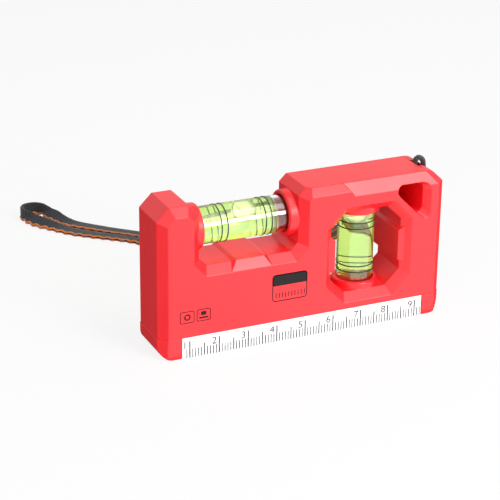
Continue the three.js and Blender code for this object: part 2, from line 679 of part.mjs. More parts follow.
function strap() {
  const half = STRAP_WIDTH / 2;
  const thick = STRAP_THICKNESS / 2;
  const edge = thick / 2;
  const section = new THREE.Shape([
    [half - edge, -thick], [half, -edge], [half, edge], [half - edge, thick],
    [edge - half, thick], [-half, edge], [-half, -edge], [edge - half, -thick],
  ].map(([x, y]) => new THREE.Vector2(x, y)));
  return new THREE.ExtrudeGeometry(section, { steps: STRAP_STEPS, extrudePath: strapPath() });
}

// Half of the cord is the distance between the middles of its two legs in the sleeve; x and z are
// measured from the middle of the top of the corner bar.
const CORD_SPLIT = (CORD_DIAMETER + CLEARANCE) / 2;
const CORD_PLACES = [
  [-2.5, BACK + 7.5 - CORD_SPLIT, -20.1], [-1.95, BACK + 7.5 - CORD_SPLIT, -19.3],
  [-1.65, BACK + 7.5 - CORD_SPLIT, -18.1], [-1.4, BACK + 6.4, -15.5], [-1.2, BACK + 6.2, -12.5],
  [-1, BACK + 5.4, -9.9], [-0.9, BACK + 3.6, -7.9], [-0.9, BACK + 1, -7.15], [-1, 7, -7.3],
  [-1.25, 4.2, -7.2], [-1.55, 2.3, -6.3], [-1.7, 1.5, -4.2], [-1.7, 1.5, -1.2], [-1.4, 1.5, 0.35],
  [-0.65, 1.5, 0.97], [0.4, 1.5, 0.65], [1.2, 1.5, -0.15], [1.5, 1.5, -1.5], [1.55, 1.5, -4.1],
  [1.5, 2.3, -6.2], [1.4, 4.2, -7.15], [1.35, 7, -7.3], [1.35, BACK + 1, -7.15], [1.3, BACK + 4.8, -7.7],
  [1.1, BACK + 7.3, -9.7], [0.4, BACK + 8.3, -12.7], [-0.8, BACK + 7.5 + CORD_SPLIT, -16.1],
  [-1.65, BACK + 7.5 + CORD_SPLIT, -18.1], [-1.95, BACK + 7.5 + CORD_SPLIT, -19.3],
  [-2.5, BACK + 7.5 + CORD_SPLIT, -20.1],
];

function cord() {
  const section = new THREE.Shape();
  section.absarc(0, 0, CORD_DIAMETER / 2, 0, 2 * Math.PI);
  const end = sleeveEnd(1);
  const path = new THREE.CatmullRomCurve3([
    end.clone().setY(end.y - CORD_SPLIT),
    ...CORD_PLACES.map(([x, y, z]) => new THREE.Vector3(BAR_CENTRE + x, y, HEIGHT + z)),
    end.clone().setY(end.y + CORD_SPLIT),
  ]);
  return new THREE.ExtrudeGeometry(section, { steps: CORD_STEPS, curveSegments: 4, extrudePath: path });
}

function sleeve() {
  const half = SLEEVE_WIDTH / 2;
  const deep = SLEEVE_DEPTH / 2;
  const plan = outline([
    [-deep, -half, SLEEVE_CORNER], [deep, -half, SLEEVE_CORNER],
    [deep, half, SLEEVE_CORNER], [-deep, half, SLEEVE_CORNER],
  ]);
  const block = upwards(plan, -SLEEVE_LENGTH / 2, SLEEVE_LENGTH / 2, 3);
  return block.rotateY(THREE.MathUtils.degToRad(SLEEVE_TILT)).translate(...SLEEVE_MIDDLE.toArray());
}

// Assembly

function named(name, geometry, material) {
  const mesh = new THREE.Mesh(geometry, material);
  mesh.name = name;
  return mesh;
}

function longBubble({ fill, bulge }) {
  // Floats under the top of the lying chamber, in the open channel that it slides along.
  const radius = LONG_BUBBLE_DIAMETER / 2;
  const rise = bulge(0) - radius - CLEARANCE / 2;
  const run = LONG_BUBBLE_LENGTH + 2 * LONG_BUBBLE_TRAVEL + 2 * CLEARANCE;
  const bubble = capsule(radius, LONG_BUBBLE_LENGTH).translate(rise, 0, -LONG_BUBBLE_SHIFT);
  const channel = capsule(radius + CLEARANCE, run).translate(rise, 0, -LONG_BUBBLE_SHIFT);
  return { bubble, fluid: cut(fill, channel) };
}

function uprightBubble({ fill, chamberLow, chamberHigh }) {
  // Rests against the upper end of the standing chamber, at the top of the channel that it sinks down.
  const radius = UPRIGHT_BUBBLE_DIAMETER / 2;
  const top = chamberHigh - 2 * CLEARANCE;
  const run = chamberHigh - chamberLow;
  const bubble = capsule(radius, UPRIGHT_BUBBLE_LENGTH).translate(0, 0, top - UPRIGHT_BUBBLE_LENGTH / 2);
  const channel = capsule(radius + CLEARANCE, run).translate(0, 0, top + 3 * CLEARANCE - run / 2);
  return { bubble, fluid: cut(fill, channel) };
}

function vialGroup(name, length, liquidEnd, place) {
  // place puts the bubble in the vial's fluid.
  const group = new THREE.Group();
  const parts = vialParts(length, liquidEnd);
  const { bubble, fluid } = place(parts);
  group.add(named(`${name}_barrel`, parts.barrel, ACRYLIC));
  group.add(named(`${name}_plug`, parts.plug, ACRYLIC));
  group.add(named(`${name}_fluid`, fluid, FLUID));
  group.add(named(`${name}_bubble`, bubble, AIR));
  const inner = LINE_SPACING / 2;
  [-inner - LINE_PITCH, -inner, inner, inner + LINE_PITCH].forEach((z, i) => {
    group.add(named(`${name}_line_${i + 1}`, readLine(z), BLACK));
  });
  return group;
}

const level = new THREE.Group();
const [frontHalf, rearHalf] = bodyHalves();
level.add(named('body_front_half', frontHalf, RED));
level.add(named('body_rear_half', rearHalf, RED));
level.add(named('base_shoe', baseShoe(), RED));
level.add(named('ruler_strip', rulerStrip(), WHITE));
[-1, 1].forEach((side, i) => {
  const magnet = magnetBlank(side, MAGNET_DIAMETER / 2, MAGNET_RECESS);
  level.add(named(`magnet_${i + 1}`, magnet, STEEL));
});

const longVial = vialGroup('long_vial', NOTCH_WIDTH + 2 * VIAL_SEAT, LONG_LIQUID_END, longBubble);
longVial.rotation.set(0, -Math.PI / 2, 0);
longVial.position.set(NOTCH_CENTRE, 0, LONG_VIAL_HEIGHT);
level.add(longVial);

const barrelLength = WINDOW_HEIGHT + 2 * VIAL_SEAT;
const uprightVial = vialGroup('upright_vial', barrelLength, UPRIGHT_LIQUID_END, uprightBubble);
uprightVial.position.set(WINDOW_CENTRE, 0, WINDOW_MIDDLE);
level.add(uprightVial);

level.add(named('lanyard_cord', cord(), CORD));
level.add(named('lanyard_sleeve', sleeve(), CORD));
level.add(named('lanyard_strap', strap(), WEBBING));

export default level;
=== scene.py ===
# Pocket level, 100 x 50 x 20 mm, with a wrist strap.
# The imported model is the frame, and each section dresses a piece of it: the cord and the strap
# first, then the body with what is fixed to it, and the vials. Metres: +X along the front, +Y to
# the rear, +Z up from the base.
import math

import bmesh
import bpy
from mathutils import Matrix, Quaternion, Vector
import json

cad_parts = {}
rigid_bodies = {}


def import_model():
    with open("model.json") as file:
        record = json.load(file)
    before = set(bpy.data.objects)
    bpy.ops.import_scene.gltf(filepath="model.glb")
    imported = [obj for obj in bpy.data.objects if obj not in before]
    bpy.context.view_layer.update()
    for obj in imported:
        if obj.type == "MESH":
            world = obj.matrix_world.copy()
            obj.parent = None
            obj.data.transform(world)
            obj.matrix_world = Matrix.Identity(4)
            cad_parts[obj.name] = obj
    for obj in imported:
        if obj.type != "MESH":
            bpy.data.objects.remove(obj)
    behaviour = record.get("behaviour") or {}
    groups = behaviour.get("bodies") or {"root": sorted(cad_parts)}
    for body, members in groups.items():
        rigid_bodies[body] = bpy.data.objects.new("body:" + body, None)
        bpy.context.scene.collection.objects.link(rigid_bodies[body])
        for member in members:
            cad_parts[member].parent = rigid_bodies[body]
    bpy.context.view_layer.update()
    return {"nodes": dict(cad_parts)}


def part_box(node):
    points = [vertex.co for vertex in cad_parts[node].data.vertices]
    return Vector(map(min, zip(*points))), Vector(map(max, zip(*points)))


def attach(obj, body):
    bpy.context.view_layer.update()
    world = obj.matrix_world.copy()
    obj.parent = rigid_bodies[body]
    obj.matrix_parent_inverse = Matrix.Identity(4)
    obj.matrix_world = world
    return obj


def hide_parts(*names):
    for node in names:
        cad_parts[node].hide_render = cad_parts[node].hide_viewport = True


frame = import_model()
bpy.ops.object.select_all(action="DESELECT")


# Camera
# Stands to the front left and above, where the ruler's marks and the body's corners fall on
# their places in the picture. It leans by two thirds of a degree.
camera_at = Vector((-0.224717, -0.457991, 0.238754))
camera_aim = Vector((-0.015185, 0.0, 0.028619))
camera_lean = math.radians(0.677)
camera_turn = (camera_at - camera_aim).to_track_quat("Z", "Y") @ Quaternion((0, 0, 1), camera_lean)
bpy.ops.object.camera_add(location=camera_at)
camera = bpy.context.object
camera.rotation_mode = "QUATERNION"
camera.rotation_quaternion = camera_turn
camera.data.sensor_width = 36.0
camera.data.lens = 124.03
camera.data.clip_start = 0.01
bpy.context.scene.camera = camera


# Wrist cord
# A braided black cord, 1.8 mm thick, comes in at the rear, goes up one slot of the corner, over
# the moulded bar and down the other, and out at the rear again to the sleeve that holds its ends.
def smooth_route(places, spacing, steps=24):
    """Points at an even spacing along a rounded line through the places."""
    places = [Vector(place) for place in places]
    guide = [2 * places[0] - places[1], *places, 2 * places[-1] - places[-2]]
    fine = []
    for i in range(1, len(guide) - 2):
        p0, p1, p2, p3 = guide[i - 1:i + 3]
        t0 = 0.0
        t1 = t0 + (p1 - p0).length ** 0.5
        t2 = t1 + (p2 - p1).length ** 0.5
        t3 = t2 + (p3 - p2).length ** 0.5
        for step in range(steps):
            t = t1 + (t2 - t1) * step / steps
            a1 = p0 * ((t1 - t) / (t1 - t0)) + p1 * ((t - t0) / (t1 - t0))
            a2 = p1 * ((t2 - t) / (t2 - t1)) + p2 * ((t - t1) / (t2 - t1))
            a3 = p2 * ((t3 - t) / (t3 - t2)) + p3 * ((t - t2) / (t3 - t2))
            b1 = a1 * ((t2 - t) / (t2 - t0)) + a2 * ((t - t0) / (t2 - t0))
            b2 = a2 * ((t3 - t) / (t3 - t1)) + a3 * ((t - t1) / (t3 - t1))
            fine.append(b1 * ((t2 - t) / (t2 - t1)) + b2 * ((t - t1) / (t2 - t1)))
    fine.append(places[-1])
    total = sum((b - a).length for a, b in zip(fine, fine[1:]))
    count = max(2, round(total / spacing))
    even = [fine[0]]
    walked = 0.0
    for a, b in zip(fine, fine[1:]):
        length = (b - a).length
        while length > 0 and len(even) * total / count <= walked + length and len(even) < count:
            even.append(a.lerp(b, (len(even) * total / count - walked) / length))
        walked += length
    even.append(fine[-1])
    return even


def sweep(name, points, across, section):
    """A closed tube of the section along the points, with a UV map in metres: U along, V round it."""
    count = len(section)
    mesh = bpy.data.meshes.new(name)
    verts = []
    for i, point in enumerate(points):
        ahead = points[min(i + 1, len(points) - 1)] - points[max(i - 1, 0)]
        ahead.normalize()
        wide = across[i] - ahead * across[i].dot(ahead)
        wide.normalize()
        high = ahead.cross(wide)
        verts += [point + wide * x + high * y for x, y in section]
    faces = []
    for i in range(len(points) - 1):
        for k in range(count):
            n = (k + 1) % count
            faces.append((i * count + k, i * count + n, (i + 1) * count + n, (i + 1) * count + k))
    faces.append(tuple(reversed(range(count))))
    faces.append(tuple((len(points) - 1) * count + k for k in range(count)))
    mesh.from_pydata(verts, [], faces)
    rounds = [0.0]
    for k in range(count):
        a, b = section[k], section[(k + 1) % count]
        rounds.append(rounds[-1] + math.hypot(b[0] - a[0], b[1] - a[1]))
    along = [0.0]
    for a, b in zip(points, points[1:]):
        along.append(along[-1] + (b - a).length)
    layer = mesh.uv_layers.new(name="UVMap")
    for face in mesh.polygons:
        for loop in face.loop_indices:
            vertex = mesh.loops[loop].vertex_index
            i, k = divmod(vertex, count)
            v = rounds[k]
            if len(face.vertices) == 4 and k == 0 and count - 1 in [x % count for x in face.vertices]:
                v = rounds[count]
            layer.data[loop].uv = (along[i], v)
    piece = bpy.data.objects.new(name, mesh)
    bpy.context.scene.collection.objects.link(piece)
    bpy.ops.object.select_all(action="DESELECT")
    piece.select_set(True)
    bpy.context.view_layer.objects.active = piece
    bpy.ops.object.mode_set(mode="EDIT")
    bpy.ops.mesh.select_all(action="SELECT")
    bpy.ops.mesh.normals_make_consistent(inside=False)
    bpy.ops.object.mode_set(mode="OBJECT")
    bpy.ops.object.shade_smooth_by_angle(angle=math.radians(50))
    return piece


def new_material(name):
    """A new material that uses nodes, with its node tree's Principled shader."""
    material = bpy.data.materials.new(name)
    material.use_nodes = True
    nodes = material.node_tree.nodes
    return material, nodes, material.node_tree.links, nodes["Principled BSDF"]


def node(nodes, kind, **inputs):
    """Adds a node and sets its inputs, given by their names with underscores for spaces."""
    made = nodes.new(kind)
    for key, value in inputs.items():
        made.inputs[key.replace("_", " ")].default_value = value
    return made


def math_node(nodes, links, operation, first, second=None, clamp=False):
    """A Math node fed by sockets or plain numbers."""
    made = nodes.new("ShaderNodeMath")
    made.operation = operation
    made.use_clamp = clamp
    for i, value in enumerate([first, second]):
        if value is None:
            continue
        if isinstance(value, (int, float)):
            made.inputs[i].default_value = value
        else:
            links.new(value, made.inputs[i])
    return made.outputs[0]


def woven_group():
    """Crossing strands: a height and a colour mask from a surface's own UV map in metres."""
    group = bpy.data.node_groups.new("woven_strands", "ShaderNodeTree")
    for label, default in (("Along", 1600.0), ("Across", 900.0)):
        socket = group.interface.new_socket(name=label, in_out="INPUT", socket_type="NodeSocketFloat")
        socket.default_value = default
    group.interface.new_socket(name="Height", in_out="OUTPUT", socket_type="NodeSocketFloat")
    group.interface.new_socket(name="Fleck", in_out="OUTPUT", socket_type="NodeSocketFloat")
    nodes, links = group.nodes, group.links
    entry = nodes.new("NodeGroupInput")
    leave = nodes.new("NodeGroupOutput")
    uv = nodes.new("ShaderNodeUVMap")
    uv.uv_map = "UVMap"
    split = nodes.new("ShaderNodeSeparateXYZ")
    links.new(uv.outputs[0], split.inputs[0])
    u = math_node(nodes, links, "MULTIPLY", split.outputs[0], entry.outputs["Along"])
    v = math_node(nodes, links, "MULTIPLY", split.outputs[1], entry.outputs["Across"])
    rising = math_node(nodes, links, "SINE", math_node(nodes, links, "ADD", u, v))
    falling = math_node(nodes, links, "SINE", math_node(nodes, links, "SUBTRACT", u, v))
    height = math_node(nodes, links, "MULTIPLY", rising, falling)
    height = math_node(nodes, links, "MULTIPLY", math_node(nodes, links, "ADD", height, 1.0), 0.5)
    links.new(height, leave.inputs["Height"])
    noise = node(nodes, "ShaderNodeTexNoise", Scale=2600.0, Detail=3.0)
    links.new(uv.outputs[0], noise.inputs["Vector"])
    links.new(noise.outputs["Fac"], leave.inputs["Fleck"])
    return group


woven = woven_group()


def textile(name, valley_shade, light, roughness, along, across, depth):
    """A woven or braided textile: painted shade darkens the valleys between the strands, flecked at random,
    with soft sheen.
    """
    material, nodes, links, shader = new_material(name)
    weave = nodes.new("ShaderNodeGroup")
    weave.node_tree = woven
    weave.inputs["Along"].default_value = along
    weave.inputs["Across"].default_value = across
    mixed = nodes.new("ShaderNodeMix")
    mixed.data_type = "RGBA"
    mixed.inputs["A"].default_value = (*valley_shade, 1)
    mixed.inputs["B"].default_value = (*light, 1)
    # Painted shade: the weave's valleys take the darker colour, broken up by the random fleck.
    factor = math_node(nodes, links, "MULTIPLY", weave.outputs["Height"], weave.outputs["Fleck"])
    links.new(math_node(nodes, links, "MULTIPLY", factor, 1.6, clamp=True), mixed.inputs["Factor"])
    links.new(mixed.outputs["Result"], shader.inputs["Base Color"])
    bump = node(nodes, "ShaderNodeBump", Strength=0.8, Distance=depth)
    links.new(weave.outputs["Height"], bump.inputs["Height"])
    links.new(bump.outputs[0], shader.inputs["Normal"])
    shader.inputs["Roughness"].default_value = roughness
    shader.inputs["Sheen Weight"].default_value = 0.25
    shader.inputs["Sheen Roughness"].default_value = 0.5
    return material


CORD_THICK = 0.0018
CORD_PLACES = [
    (42.42, 16.45, 29.28), (43.4, 16.45, 29.9), (43.95, 16.45, 30.7), (44.25, 16.45, 31.9),
    (44.5, 16.4, 34.5), (44.7, 16.2, 37.5), (44.9, 15.4, 40.1), (45, 13.6, 42.1),
    (45, 11, 42.85), (44.9, 7, 42.7), (44.65, 4.2, 42.8), (44.35, 2.3, 43.7),
    (44.2, 1.5, 45.8), (44.2, 1.5, 48.8), (44.5, 1.5, 50.35), (45.25, 1.5, 50.97),
    (46.3, 1.5, 50.65), (47.1, 1.5, 49.85), (47.4, 1.5, 48.5), (47.45, 1.5, 45.9),
    (47.4, 2.3, 43.8), (47.3, 4.2, 42.85), (47.25, 7, 42.7), (47.25, 11, 42.85),
    (47.2, 14.8, 42.3), (47, 17.3, 40.3), (46.3, 18.3, 37.3), (45.1, 18.55, 33.9),
    (44.25, 18.55, 31.9), (43.95, 18.55, 30.7), (43.4, 18.55, 29.9), (42.42, 18.55, 29.28),
]
CORD_PLACES = [Vector(place) / 1000 for place in CORD_PLACES]
cord_route = smooth_route(CORD_PLACES, 0.0006)
cord_side = [Vector((0.83, 0.31, 0.46)) for _ in cord_route]
cord_section = [
    (CORD_THICK / 2 * math.cos(math.tau * k / 12), CORD_THICK / 2 * math.sin(math.tau * k / 12))
    for k in range(12)
]
lanyard_cord = sweep("wrist_cord", cord_route, cord_side, cord_section)
cord_black = textile(
    "braided black cord", (0.006, 0.006, 0.007), (0.035, 0.034, 0.036), 0.75, 2600.0, 2222.0, 0.0002,
)
lanyard_cord.data.materials.append(cord_black)
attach(lanyard_cord, "level")
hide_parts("lanyard_cord")


# Wrist strap
# Woven black tape, 4.6 mm wide, goes out from the sleeve, turns round at the wrist end and comes
# back. Both strands hang behind the window, lie side by side on the table to the left of the level
# and lean up on edge towards the loop's end. An orange thread is whipped over one edge.
TAPE_WIDE = 0.0046
TAPE_THICK = 0.0008
THREAD_PAST_EDGE = 0.00046
THREAD_PAST_FACE = 0.00027
FLOOR_GAP = 0.00005
SLEEVE_LONG = 0.009
SLEEVE_GAP = 0.0003
SLEEVE_LEAN = math.radians(67)
low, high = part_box("lanyard_sleeve")
sleeve_middle = (low + high) / 2
sleeve_along = Vector((math.sin(SLEEVE_LEAN), 0, math.cos(SLEEVE_LEAN)))
strap_start = sleeve_middle - sleeve_along * (SLEEVE_LONG / 2 + SLEEVE_GAP)
# Middle of the pair from the sleeve on in X and Y (mm), share of the sleeve's height that it still
# hangs at, lean from flat (degrees) and distance between the strands (mm).
STRAND_PLACES = [
    (0, 0, 1, 0, 5.2), (-1.85, 0, 0.972, 0, 5.2), (-3.7, 0.2, 0.94, 0, 5.2),
    (-8.6, 2.1, 0.816, 0, 5.2), (-14.4, 5.1, 0.628, 0, 5.2), (-20, 10.1, 0.428, 0, 5.2),
    (-25, 17.1, 0.244, 0, 5.2), (-29.4, 25.9, 0.104, 0, 5.2), (-33.4, 35.5, 0.028, 0, 5.2),
    (-37.6, 45.1, 0.004, 0, 5.2), (-42.4, 54.1, 0, 0, 5.2), (-47.8, 62.4, 0, 0, 5.2),
    (-53.4, 69.7, 0, 0, 5.3), (-57.3, 73.6, 0, 0, 5.4), (-61.8, 77.4, 0, 1, 5.6),
    (-66.7, 81.9, 0, 2, 6.2), (-71.2, 86.2, 0, 4, 6.4), (-73.8, 89.1, 0, 8, 6.1),
    (-75.9, 91.6, 0, 16, 6.1), (-77.8, 94.2, 0, 27, 6.7), (-79.5, 97, 0, 38, 8),
    (-81.2, 100.4, 0, 43, 8.1),
]
LOOP_PLACES = [
    (-86.2, 101.5), (-86.9, 104.8), (-85, 107.6), (-81.7, 108.1), (-78.9, 106.4), (-77.8, 104.1),
]


def strand_place(x, y, share, lean):
    """A point of the strap that far from the sleeve, resting on its lower edge or still hanging."""
    half_wide = TAPE_WIDE / 2 + THREAD_PAST_EDGE
    half_thick = TAPE_THICK / 2 + THREAD_PAST_FACE
    rest = FLOOR_GAP + half_wide * math.sin(lean) + half_thick * math.cos(lean)
    height = rest + share * (strap_start.z - rest)
    return Vector((strap_start.x + x / 1000, strap_start.y + y / 1000, height))


near_places, near_sides, far_places, far_sides = [], [], [], []
for i, (x, y, share, lean, pitch) in enumerate(STRAND_PLACES):
    before = STRAND_PLACES[max(i - 1, 0)]
    after = STRAND_PLACES[min(i + 1, len(STRAND_PLACES) - 1)]
    outwards = Vector((after[1] - before[1], before[0] - after[0], 0)).normalized()
    tilt = math.radians(lean)
    middle = strand_place(x, y, share, tilt)
    side = outwards * math.cos(tilt) + Vector((0, 0, math.sin(tilt)))
    near_places.append(middle - outwards * pitch / 2000)
    far_places.insert(0, middle + outwards * pitch / 2000)
    near_sides.append(side)
    far_sides.insert(0, side.copy())
loop_places = [strand_place(x, y, 0, math.radians(90)) for x, y in LOOP_PLACES]
strap_places = [*near_places, *loop_places, *far_places]
strap_sides = [*near_sides, *[Vector((0, 0, 1)) for _ in loop_places], *far_sides]
strap_route = smooth_route(strap_places, 0.0009)


def sides_along(points, places, sides):
    """The direction across the tape at each point, turned evenly between the chosen places."""
    at = 0
    marks = []
    for place in places:
        at = min(range(at, len(points)), key=lambda i: (points[i] - place).length)
        marks.append(at)
    turned = []
    for i in range(len(points)):
        k = max(j for j in range(len(marks)) if marks[j] <= i)
        if k == len(marks) - 1:
            turned.append(sides[-1].copy())
            continue
        share = (i - marks[k]) / max(1, marks[k + 1] - marks[k])
        share = share * share * (3 - 2 * share)
        turned.append(sides[k].lerp(sides[k + 1], share).normalized())
    return turned


strap_across = sides_along(strap_route, strap_places, strap_sides)
w, h = TAPE_WIDE / 2, TAPE_THICK / 2
tape_section = [
    (w - 0.0003, -h), (w - 0.00008, -h * 0.6), (w, 0), (w - 0.00008, h * 0.6), (w - 0.0003, h),
    (w * 0.45, h * 0.94), (0, h), (-w * 0.45, h * 0.94),
    (0.0003 - w, h), (0.00008 - w, h * 0.6), (-w, 0), (0.00008 - w, -h * 0.6), (0.0003 - w, -h),
    (-w * 0.45, -h * 0.94), (0, -h), (w * 0.45, -h * 0.94),
]
lanyard_strap = sweep("wrist_strap", strap_route, strap_across, tape_section)
tape_black = textile(
    "woven black tape", (0.004, 0.004, 0.006), (0.032, 0.034, 0.044), 0.85, 2400.0, 4200.0, 0.00018,
)
lanyard_strap.data.materials.append(tape_black)
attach(lanyard_strap, "level")
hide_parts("lanyard_strap")

# Whipping thread of the strap
# Orange thread runs in a tight wave along the edge, once over and once under for each stitch, so
# it shows on both faces of the tape.
STITCH = 0.0036
THREAD_WIDE = 0.00095
THREAD_HIGH = 0.0005
THREAD_INSET = 0.00034
THREAD_SWING = 0.00032
thread_section = [
    (THREAD_WIDE / 2 * math.cos(math.tau * k / 8), THREAD_HIGH / 2 * math.sin(math.tau * k / 8))
    for k in range(8)
]
thread_orange = textile(
    "orange whipping thread", (0.36, 0.07, 0.01), (0.85, 0.25, 0.045), 0.6, 4200.0, 5200.0, 0.00012,
)
thread_frames = []
for i, point in enumerate(strap_route):
    ahead = strap_route[min(i + 1, len(strap_route) - 1)] - strap_route[max(i - 1, 0)]
    ahead.normalize()
    wide = (strap_across[i] - ahead * strap_across[i].dot(ahead)).normalized()
    thread_frames.append((point, wide, ahead.cross(wide)))
for face, label in ((1, "upper"), (-1, "lower")):
    wave = []
    walked = 0.0
    for i, (point, wide, high) in enumerate(thread_frames):
        if i:
            walked += (point - thread_frames[i - 1][0]).length
        swing = math.cos(math.tau * walked / STITCH)
        over = TAPE_THICK / 2 * (0.92 + 0.12 * face * swing)
        out = TAPE_WIDE / 2 - THREAD_INSET + THREAD_SWING * swing
        wave.append(point - wide * out + high * face * over)
    thread = sweep("strap_thread_" + label, wave, [wide for _, wide, _ in thread_frames], thread_section)
    thread.data.materials.append(thread_orange)
    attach(thread, "level")


# Sleeve of the strap
# A moulded black clip, 9 mm long, holds both ends of the cord and both ends of the tape. It has
# rounded edges and a waisted grip, and hangs tilted behind the window.
SLEEVE_DEEP = 0.0042
SLEEVE_WIDE = 0.0114
SLEEVE_WAIST = 0.92
SLEEVE_RADIUS = 0.0007
bpy.ops.object.select_all(action="DESELECT")
bpy.ops.mesh.primitive_cube_add(size=1.0)
sleeve = bpy.context.object
sleeve.name = "strap_sleeve"
sleeve.dimensions = (SLEEVE_DEEP, SLEEVE_WIDE, SLEEVE_LONG)
bpy.ops.object.transform_apply(location=True, rotation=True, scale=True)
bpy.ops.object.mode_set(mode="EDIT")
for ring_z in (0.0030, 0.0022, 0.0008, 0.0, -0.0008, -0.0022, -0.0030):
    bpy.ops.mesh.select_all(action="SELECT")
    bpy.ops.mesh.bisect(plane_co=(0, 0, ring_z), plane_no=(0, 0, 1))
bpy.ops.object.mode_set(mode="OBJECT")
for vertex in sleeve.data.vertices:
    if abs(vertex.co.z) < SLEEVE_LONG * 0.4:
        vertex.co.x *= SLEEVE_WAIST
sleeve.rotation_euler = (0, SLEEVE_LEAN, 0)
sleeve.location = sleeve_middle
bpy.ops.object.transform_apply(location=True, rotation=True, scale=True)
edges = sleeve.modifiers.new("rounded edges", "BEVEL")
edges.width = SLEEVE_RADIUS
edges.segments = 3
edges.limit_method = "ANGLE"
edges.angle_limit = math.radians(40)
bpy.ops.object.modifier_apply(modifier=edges.name)
bpy.ops.object.shade_smooth_by_angle(angle=math.radians(40))


# Grain and wear
# Every moulded and printed surface has a fine grain and small changes of gloss, which come from
# this group in each material's own values.
def grain_group():
    group = bpy.data.node_groups.new("moulded_grain", "ShaderNodeTree")
    for label, default in (("Fine", 9000.0), ("Broad", 90.0), ("Low", 0.3), ("High", 0.4)):
        socket = group.interface.new_socket(name=label, in_out="INPUT", socket_type="NodeSocketFloat")
        socket.default_value = default
    for label in ("Height", "Roughness", "Cloud"):
        group.interface.new_socket(name=label, in_out="OUTPUT", socket_type="NodeSocketFloat")
    nodes, links = group.nodes, group.links
    entry = nodes.new("NodeGroupInput")
    leave = nodes.new("NodeGroupOutput")
    place = nodes.new("ShaderNodeTexCoord")
    fine = node(nodes, "ShaderNodeTexNoise", Detail=2.0)
    links.new(place.outputs["Object"], fine.inputs["Vector"])
    links.new(entry.outputs["Fine"], fine.inputs["Scale"])
    broad = node(nodes, "ShaderNodeTexNoise", Detail=4.0)
    links.new(place.outputs["Object"], broad.inputs["Vector"])
    links.new(entry.outputs["Broad"], broad.inputs["Scale"])
    spread = math_node(nodes, links, "SUBTRACT", entry.outputs["High"], entry.outputs["Low"])
    gloss = math_node(nodes, links, "MULTIPLY", spread, broad.outputs["Fac"])
    gloss = math_node(nodes, links, "ADD", gloss, entry.outputs["Low"])
    links.new(fine.outputs["Fac"], leave.inputs["Height"])
    links.new(gloss, leave.inputs["Roughness"])
    links.new(broad.outputs["Fac"], leave.inputs["Cloud"])
    return group


grain = grain_group()


def moulded(name, colour, deep, low_gloss, high_gloss, bump_depth):
    """Moulded plastic: its colour drifts a little, with a fine grain in the surface."""
    material, nodes, links, shader = new_material(name)
    surface = nodes.new("ShaderNodeGroup")
    surface.node_tree = grain
    surface.inputs["Low"].default_value = low_gloss
    surface.inputs["High"].default_value = high_gloss
    mixed = nodes.new("ShaderNodeMix")
    mixed.data_type = "RGBA"
    mixed.inputs["A"].default_value = (*deep, 1)
    mixed.inputs["B"].default_value = (*colour, 1)
    links.new(surface.outputs["Cloud"], mixed.inputs["Factor"])
    links.new(mixed.outputs["Result"], shader.inputs["Base Color"])
    links.new(surface.outputs["Roughness"], shader.inputs["Roughness"])
    bump = node(nodes, "ShaderNodeBump", Strength=0.25, Distance=bump_depth)
    links.new(surface.outputs["Height"], bump.inputs["Height"])
    links.new(bump.outputs[0], shader.inputs["Normal"])
    return material, shader


sleeve_black, _ = moulded("moulded black", (0.018, 0.018, 0.02), (0.010, 0.010, 0.012), 0.4, 0.55, 0.00004)
sleeve.data.materials.append(sleeve_black)
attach(sleeve, "level")
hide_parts("lanyard_sleeve")


# Body
# Red plastic, moulded as two half shells that are welded on the middle plane and dressed over, so
# no seam shows. The edges of the mould are broken by a fine radius that catches the light.
def shell_from(name, node_names):
    """One shell from copies of CAD nodes: joined, without their meeting faces, and cleaned."""
    bpy.ops.object.select_all(action="DESELECT")
    copies = []
    for node_name in node_names:
        mesh = frame["nodes"][node_name].data.copy()
        mesh.materials.clear()
        copy = bpy.data.objects.new(name, mesh)
        bpy.context.scene.collection.objects.link(copy)
        copy.select_set(True)
        copies.append(copy)
    bpy.context.view_layer.objects.active = copies[0]
    if len(copies) > 1:
        bpy.ops.object.join()
    shell = bpy.context.object
    shell.name = name
    bpy.ops.object.mode_set(mode="EDIT")
    bpy.ops.mesh.select_all(action="SELECT")
    bpy.ops.mesh.remove_doubles(threshold=0.000004)
    if len(copies) > 1:
        bpy.ops.mesh.select_all(action="DESELECT")
        edit = bmesh.from_edit_mesh(shell.data)
        for face in edit.faces:
            face.select = all(abs(v.co.y) < 0.000005 for v in face.verts)
        bpy.ops.mesh.delete(type="FACE")
        bpy.ops.mesh.select_all(action="DESELECT")
        edit = bmesh.from_edit_mesh(shell.data)
        min(edit.verts, key=lambda v: v.co.y).select = True
        edit.select_flush(True)
        bpy.ops.mesh.select_linked()
        bpy.ops.mesh.select_all(action="INVERT")
        bpy.ops.mesh.delete(type="VERT")
    for threshold in (0.000004, 0.00016, None):
        bpy.ops.mesh.select_all(action="SELECT")
        bpy.ops.mesh.dissolve_limited(
            angle_limit=math.radians(0.8), use_dissolve_boundaries=threshold == 0.000004,
        )
        if threshold:
            bpy.ops.mesh.select_all(action="SELECT")
            bpy.ops.mesh.remove_doubles(threshold=threshold)
    bpy.ops.object.mode_set(mode="OBJECT")
    return shell


def round_edges(shell, radius, angle):
    """A fine radius on every edge that turns by more than the angle."""
    bpy.ops.object.select_all(action="DESELECT")
    shell.select_set(True)
    bpy.context.view_layer.objects.active = shell
    bevel = shell.modifiers.new("edge radius", "BEVEL")
    bevel.width = radius
    bevel.segments = 3
    bevel.limit_method = "ANGLE"
    bevel.angle_limit = math.radians(angle)
    bevel.use_clamp_overlap = False
    bpy.ops.object.modifier_apply(modifier=bevel.name)
    bpy.ops.object.shade_smooth()
    weighted = shell.modifiers.new("flat faces", "WEIGHTED_NORMAL")
    bpy.ops.object.modifier_apply(modifier=weighted.name)


